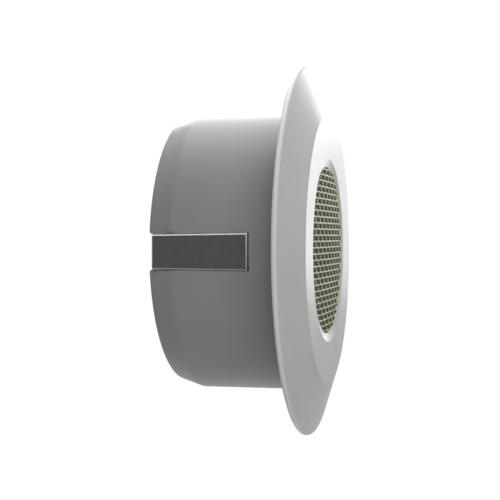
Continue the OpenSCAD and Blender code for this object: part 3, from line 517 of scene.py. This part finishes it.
def crown_y(r):
    """Where the front of the crowned disc lies at a radius."""
    return crown_front_y + crown_ball_r - math.sqrt(crown_ball_r ** 2 - r ** 2)


def bead_places():
    """Centres of the beads in a regular triangular pattern, with columns standing upright."""
    columns = math.ceil(LENS_R / COLUMN_PITCH)
    rows = math.ceil(LENS_R / BEAD_PITCH)
    for column in range(-columns, columns + 1):
        for row in range(-rows, rows + 1):
            x = column * COLUMN_PITCH
            z = (row + (column % 2) / 2) * BEAD_PITCH
            if math.hypot(x, z) < LENS_R + bead_r * EDGE_BEAD_SHARE:
                yield x, z


def one_bead():
    """The cap of a ball, its foot at height zero."""
    deselect_all()
    bpy.ops.mesh.primitive_uv_sphere_add(segments=BEAD_SEGMENTS, ring_count=BEAD_RINGS, radius=bead_ball_r,
                                         location=(0, bead_ball_r - BEAD_HEIGHT, 0),
                                         rotation=(math.pi / 2, 0, 0))
    bead = bpy.context.object
    bpy.ops.object.transform_apply(location=True, rotation=True, scale=True)
    bpy.ops.object.mode_set(mode="EDIT")
    bpy.ops.mesh.select_all(action="SELECT")
    bpy.ops.mesh.bisect(plane_co=(0, 0, 0), plane_no=(0, 1, 0), clear_outer=True)
    bpy.ops.object.mode_set(mode="OBJECT")
    return bead


def set_beads():
    """Copies of one bead at all places of the crowned disc."""
    bead = one_bead()
    copies = []
    for x, z in bead_places():
        copy = bead.copy()
        copy.data = bead.data.copy()
        copy.location = (x, crown_y(min(math.hypot(x, z), LENS_R)), z)
        bpy.context.scene.collection.objects.link(copy)
        copies.append(copy)
    bpy.data.objects.remove(bead)
    return copies


def draw_in(piece, edge_r):
    """Draws in what lies in front of the lens's rim and beyond a radius."""
    for point in piece.data.vertices:
        r = math.hypot(point.co.x, point.co.z)
        if r > edge_r and point.co.y < crown_y(0) + LENS_CROWN:
            point.co.x *= edge_r / r
            point.co.z *= edge_r / r


def beaded_lens():
    """The crowned disc with its hidden rim, covered with beads that stop at its edge."""
    radii = [LENS_R * i / CROWN_STEPS for i in range(CROWN_STEPS + 1)]
    crown = [(r, crown_y(r)) for r in radii]
    rim = [(LENS_R, rim_front_y), (LENS_RIM_R, rim_front_y), (LENS_RIM_R, rim_back_y), (0, rim_back_y)]
    base = lathe("lens_base", crown + rim)
    piece = join([base] + set_beads(), "beaded_lens")
    settle(piece)
    draw_in(piece, LENS_R - SEAT_GAP)
    dress(piece, acrylic)
    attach(piece, "fixture")
    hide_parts("lens")


beaded_lens()


# Floor, background, lights and camera


def studio():
    """A world that lights faintly, and is white behind the object and in reflections."""
    world = bpy.data.worlds.new("studio")
    world.use_nodes = True
    tree = world.node_tree
    tree.nodes.clear()
    lit = add_node(tree, "Background", {"Color": WHITE, "Strength": WORLD_FILL})
    white = add_node(tree, "Background", {"Color": WHITE, "Strength": 1})
    both = add_node(tree, "MixShader", {0: seen_rays(tree), 1: lit.outputs[0], 2: white.outputs[0]})
    add_node(tree, "OutputWorld", {"Surface": both.outputs[0]})
    bpy.context.scene.world = world


def floor():
    """A plain pale floor under the object. It ends before the photograph's view would meet it."""
    deselect_all()
    bpy.ops.mesh.primitive_plane_add(size=1)
    piece = bpy.context.object
    piece.name = "floor"
    bpy.ops.object.mode_set(mode="EDIT")
    bpy.ops.mesh.select_all(action="SELECT")
    bpy.ops.transform.resize(value=(FLOOR_BACK - FLOOR_FRONT, FLOOR_W, 1))
    bpy.ops.transform.translate(value=((FLOOR_BACK + FLOOR_FRONT) / 2, 0, FLOOR_Z))
    bpy.ops.object.mode_set(mode="OBJECT")
    dress(piece, floor_paper)


def softbox(name, place, size, power):
    """A square area light at a place, turned to the object."""
    lamp = bpy.data.lights.new(name, "AREA")
    lamp.shape = "SQUARE"
    lamp.size = size
    lamp.energy = power
    light = bpy.data.objects.new(name, lamp)
    light.location = place
    light.rotation_euler = (-Vector(place)).to_track_quat("-Z", "Y").to_euler()
    light.visible_camera = False
    bpy.context.scene.collection.objects.link(light)


def camera():
    """The photograph's view: from the left side, turned a little towards the front."""
    data = bpy.data.cameras.new("camera")
    data.sensor_width = SENSOR_MM
    data.lens = FOCAL_PIXELS / FRAME_PIXELS * SENSOR_MM
    data.clip_start = CLIP_START
    view = Vector((math.cos(VIEW_TURN), math.sin(VIEW_TURN), 0))
    right = Vector((math.sin(VIEW_TURN), -math.cos(VIEW_TURN), 0))
    round_axis = Quaternion((0, 1, 0), VIEW_ROUND_AXIS)
    eye = bpy.data.objects.new("camera", data)
    eye.location = round_axis @ (-view * VIEW_DISTANCE - right * VIEW_STEP)
    eye.rotation_mode = "QUATERNION"
    eye.rotation_quaternion = round_axis @ view.to_track_quat("-Z", "Y")
    bpy.context.scene.collection.objects.link(eye)
    bpy.context.scene.camera = eye


studio()
floor()
for lamp_name, lamp_settings in LAMPS.items():
    softbox(lamp_name, *lamp_settings)
camera()

bpy.context.scene.view_settings.view_transform = "Standard"
